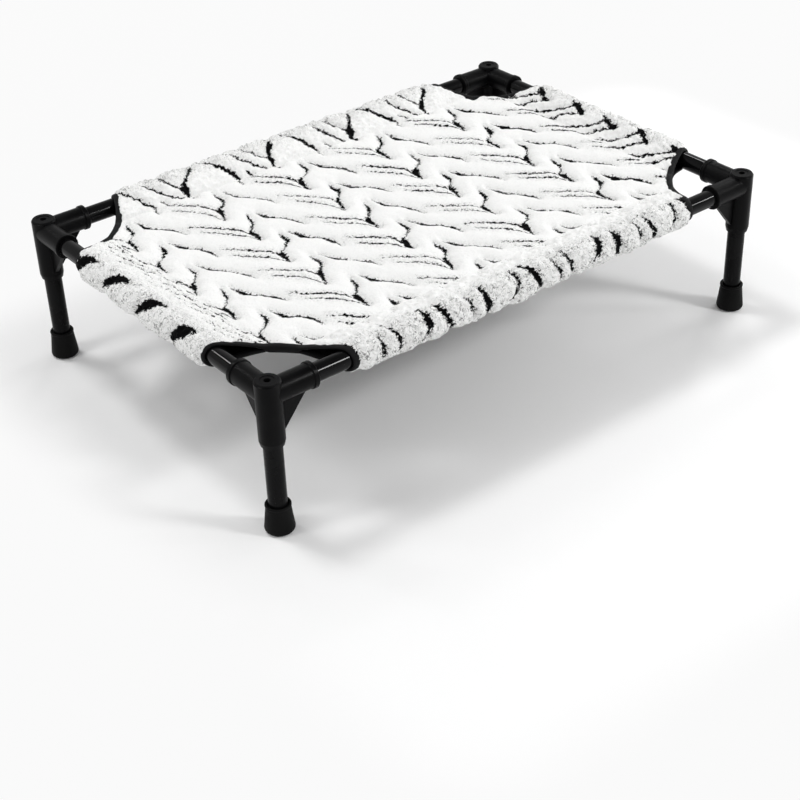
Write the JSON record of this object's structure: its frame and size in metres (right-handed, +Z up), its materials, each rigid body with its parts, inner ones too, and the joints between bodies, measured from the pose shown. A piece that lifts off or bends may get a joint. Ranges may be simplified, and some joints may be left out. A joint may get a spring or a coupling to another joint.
{
  "type": "raised dog cot",
  "caption": "Low rectangular pet cot: fleece cover stretched on sleeves over a push-together tube frame with corner connectors and rubber-tipped legs.",
  "frame": {"origin": "on the floor at the middle of the cot", "axes": "+X along the length, the long front side at -Y, +Z up from the floor"},
  "size_m": [0.66, 0.45, 0.17],
  "materials": {
    "connector_plastic": "fine moulded grain, satin black",
    "cap_plastic": "satin black moulding",
    "rail_steel": "gloss black paint",
    "leg_steel": "semi-gloss black paint",
    "foot_rubber": "matte black rubber",
    "fleece": "curly white pile with black zigzag strokes",
    "backing_weave": "plain woven black backing",
    "binding_tape": "ribbed black binding tape"
  },
  "bodies": {
    "frame": {"connector_front_left": "connector_plastic", "connector_front_right": "connector_plastic", "connector_rear_left": "connector_plastic", "connector_rear_right": "connector_plastic", "cap_front_left": "cap_plastic", "cap_front_right": "cap_plastic", "cap_rear_left": "cap_plastic", "cap_rear_right": "cap_plastic", "rail_front": "rail_steel", "rail_rear": "rail_steel", "rail_left": "rail_steel", "rail_right": "rail_steel", "sleeve_front": "fleece", "sleeve_rear": "fleece", "sleeve_left": "fleece", "sleeve_right": "fleece", "fleece_panel": "fleece", "backing_cloth": "backing_weave", "binding_front_left": "binding_tape", "binding_front_right": "binding_tape", "binding_rear_left": "binding_tape", "binding_rear_right": "binding_tape"},
    "leg_front_left": {"leg_front_left": "leg_steel", "foot_front_left": "foot_rubber"},
    "leg_front_right": {"leg_front_right": "leg_steel", "foot_front_right": "foot_rubber"},
    "leg_rear_left": {"leg_rear_left": "leg_steel", "foot_rear_left": "foot_rubber"},
    "leg_rear_right": {"leg_rear_right": "leg_steel", "foot_rear_right": "foot_rubber"}
  },
  "joints": [
    {"name": "leg_front_left_pull", "type": "slide", "parent": "frame", "child": "leg_front_left", "axis": [0, 0, -1], "range_m": [0, 0.07]},
    {"name": "leg_front_right_pull", "type": "slide", "parent": "frame", "child": "leg_front_right", "axis": [0, 0, -1], "range_m": [0, 0.07]},
    {"name": "leg_rear_left_pull", "type": "slide", "parent": "frame", "child": "leg_rear_left", "axis": [0, 0, -1], "range_m": [0, 0.07]},
    {"name": "leg_rear_right_pull", "type": "slide", "parent": "frame", "child": "leg_rear_right", "axis": [0, 0, -1], "range_m": [0, 0.07]}
  ]
}
